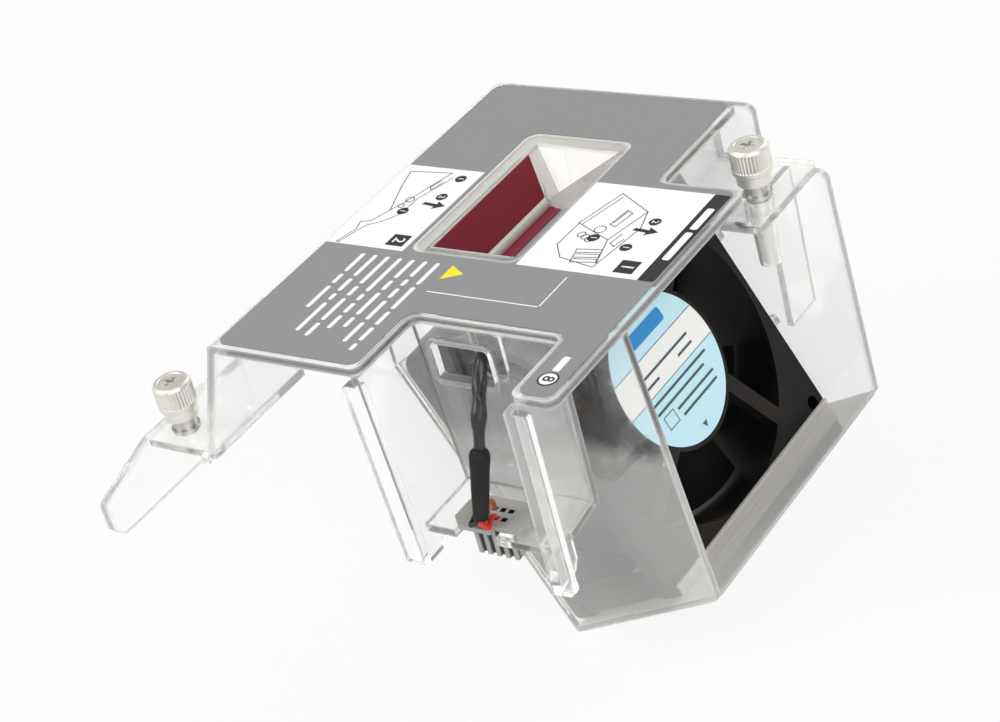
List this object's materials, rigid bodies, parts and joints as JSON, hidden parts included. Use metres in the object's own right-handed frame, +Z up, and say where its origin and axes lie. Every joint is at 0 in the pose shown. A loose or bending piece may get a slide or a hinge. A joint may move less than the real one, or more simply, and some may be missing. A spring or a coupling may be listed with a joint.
{
  "type": "server fan module",
  "caption": "Clear plastic air duct that carries a tilted axial fan on a sealed lead with a downward plug, a finger grip in its cover and captive thumbscrews.",
  "frame": {"origin": "left captive screw's axis on the chassis seat plane, under the left bracket's ledge", "axes": "+Z up out of the chassis, along the captive screws; +Y along the cover's long side, from the connector edge to the far wall; +X towards the duct's mouth"},
  "size_m": [0.159, 0.1675, 0.1155],
  "materials": {
    "clear_plastic": "polished",
    "overlay": "printed film",
    "grip_film": "printed film",
    "black_plastic": "moulded",
    "housing_plastic": "moulded",
    "hub_paper": "satin label",
    "sleeve": "braided",
    "boot": "heat-shrink",
    "wire_red": "insulation",
    "wire_black": "insulation",
    "wire_orange": "insulation",
    "wire_brown": "insulation",
    "contact_metal": "plated",
    "nickel": "satin nickel",
    "steel": "ground",
    "spring_steel": "drawn",
    "brass": "turned",
    "magnet": "ferrite",
    "laminations": "stamped",
    "copper": "enamelled wire",
    "board": "solder mask"
  },
  "bodies": {
    "module": {"top_cover": "clear_plastic", "cover_overlay": "overlay", "grip_tray": "clear_plastic", "grip_pad_left": "grip_film", "grip_pad_right": "grip_film", "left_bracket": "clear_plastic", "right_bracket": "clear_plastic", "duct_near_panel": "clear_plastic", "duct_far_panel": "clear_plastic", "duct_floor": "clear_plastic", "window_panel": "clear_plastic", "pocket_side_left": "clear_plastic", "pocket_side_right": "clear_plastic", "connector_shelf": "clear_plastic", "connector_housing": "housing_plastic", "connector_contacts": "contact_metal", "cable_sleeve": "sleeve", "heat_shrink_boot": "boot", "wire_red": "wire_red", "wire_black": "wire_black", "wire_orange": "wire_orange", "wire_brown": "wire_brown", "fan_frame": "black_plastic", "motor_base": "black_plastic", "hub_label": "hub_paper", "bearing_tube": "brass", "lower_bearing": "steel", "upper_bearing": "steel", "stator_core": "laminations", "stator_windings": "copper", "motor_board": "board", "left_ferrule": "nickel", "right_ferrule": "nickel"},
    "fan_rotor": {"impeller": "black_plastic", "rotor_yoke": "steel", "rotor_magnet": "magnet", "rotor_shaft": "steel", "shaft_clip": "spring_steel", "preload_spring": "spring_steel"},
    "left_screw_carriage": {"left_spring": "spring_steel"},
    "left_screw": {"left_knob": "nickel", "left_stud": "steel"},
    "right_screw_carriage": {"right_spring": "spring_steel"},
    "right_screw": {"right_knob": "nickel", "right_stud": "steel"}
  },
  "joints": [
    {"name": "fan_spin", "type": "hinge", "parent": "module", "child": "fan_rotor", "pos_m": [0.09722, 0.0737, -0.01732], "axis": [0.9063, 0, 0.4226], "continuous": true},
    {"name": "left_screw_press", "type": "slide", "parent": "module", "child": "left_screw_carriage", "axis": [0, 0, 1], "range_m": [-0.0044, 0], "stiffness_N_per_m": 300, "springref_m": 0.004, "deforming": ["left_spring"]},
    {"name": "left_screw_turn", "type": "hinge", "parent": "left_screw_carriage", "child": "left_screw", "pos_m": [0, 0, 0.0125], "axis": [0, 0, 1], "continuous": true},
    {"name": "right_screw_press", "type": "slide", "parent": "module", "child": "right_screw_carriage", "axis": [0, 0, 1], "range_m": [-0.0044, 0], "stiffness_N_per_m": 300, "springref_m": 0.004, "deforming": ["right_spring"]},
    {"name": "right_screw_turn", "type": "hinge", "parent": "right_screw_carriage", "child": "right_screw", "pos_m": [0.1338, 0.105, 0.0405], "axis": [0, 0, 1], "continuous": true}
  ]
}
